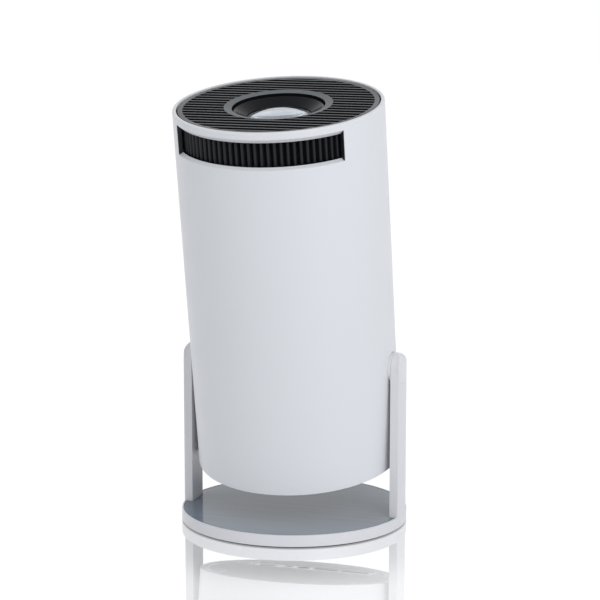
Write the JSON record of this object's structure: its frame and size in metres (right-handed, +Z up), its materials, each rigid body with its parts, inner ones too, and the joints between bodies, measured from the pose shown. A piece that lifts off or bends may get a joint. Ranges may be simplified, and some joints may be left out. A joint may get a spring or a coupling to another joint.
{
  "type": "portable mini projector",
  "caption": "Cylindrical mini projector with a slatted lens face and a focus ring in a wall slot, tilting between the two arms of a round weighted stand.",
  "frame": {"origin": "centre of the face that the stand rests on", "axes": "+Z up, +X along the tilt axis, -Y towards the side with the focus slot"},
  "size_m": [0.112, 0.1328, 0.2185],
  "materials": {
    "white_shell": "satin",
    "black_plastic": "fine matt",
    "gloss_black": "gloss",
    "grey_plate": "gloss",
    "dark_inner": "matt",
    "lens_glass": "polished",
    "panel_glass": "polished",
    "steel": "plain",
    "brass": "plain",
    "aluminium": "plain",
    "rubber": "matt",
    "board_green": "solder mask",
    "ribbon_tan": "polyimide",
    "nylon": "natural"
  },
  "bodies": {
    "stand": {"stand_frame": "white_shell", "base_plate": "grey_plate", "base_weight": "steel", "base_cover": "black_plastic", "foot_ring": "rubber", "base_screw_1": "steel", "base_screw_2": "steel", "base_screw_3": "steel", "pivot_cap_left": "white_shell", "pivot_cap_right": "white_shell"},
    "barrel": {"barrel_shell": "white_shell", "rear_cover": "white_shell", "front_grille": "black_plastic", "fan_frame": "black_plastic", "speaker_cone": "black_plastic", "port_panel": "gloss_black", "audio_socket": "gloss_black", "dc_socket": "gloss_black", "power_switch": "gloss_black", "front_bulkhead": "dark_inner", "optical_housing": "dark_inner", "engine_lid": "dark_inner", "fan_bracket": "dark_inner", "speaker_frame": "dark_inner", "condenser_lens": "lens_glass", "heat_glass": "lens_glass", "rear_fresnel": "lens_glass", "front_fresnel": "lens_glass", "status_light": "lens_glass", "lcd_panel": "panel_glass", "pivot_bolt_left": "steel", "pivot_bolt_right": "steel", "usb_socket": "steel", "hdmi_socket": "steel", "rear_screw_1": "steel", "rear_screw_2": "steel", "rear_screw_3": "steel", "rear_screw_4": "steel", "pivot_nut_left": "brass", "pivot_nut_right": "brass", "heat_sink": "aluminium", "led_board": "aluminium", "light_funnel": "aluminium", "main_board": "board_green", "port_board": "board_green", "panel_ribbon": "ribbon_tan", "friction_washer_left": "nylon", "friction_washer_right": "nylon"},
    "focus_wheel": {"focus_ring": "black_plastic"},
    "lens": {"lens_barrel": "dark_inner", "lens_trim": "gloss_black", "front_lens": "lens_glass", "middle_lens": "lens_glass", "rear_lens": "lens_glass", "focus_pin_1": "steel", "focus_pin_2": "steel", "focus_pin_3": "steel"},
    "fan": {"fan_rotor": "black_plastic"},
    "button": {"power_button": "gloss_black"}
  },
  "joints": [
    {"name": "barrel_tilt", "type": "hinge", "parent": "stand", "child": "barrel", "pos_m": [0, 0, 0.07976], "axis": [1, 0, 0], "range_deg": [-100.7, 79.2]},
    {"name": "focus_turn", "type": "hinge", "parent": "barrel", "child": "focus_wheel", "pos_m": [0, -0.02195, 0.1957], "axis": [0, -0.186, 0.9825], "range_deg": [-40, 40]},
    {"name": "lens_travel", "type": "slide", "parent": "barrel", "child": "lens", "axis": [0, -0.186, 0.9825], "range_m": [-0.002, 0.002]},
    {"name": "fan_spin", "type": "hinge", "parent": "barrel", "child": "fan", "pos_m": [0, -0.00714, 0.05297], "axis": [0, -0.186, 0.9825], "continuous": true},
    {"name": "power_press", "type": "slide", "parent": "barrel", "child": "button", "axis": [0, -0.186, 0.9825], "range_m": [0, 0.0008], "stiffness_N_per_m": 600, "springref_m": -0.0004}
  ],
  "couplings": [
    {"joint": "lens_travel", "follows": "focus_turn", "m_per_rad": 0.0028}
  ]
}
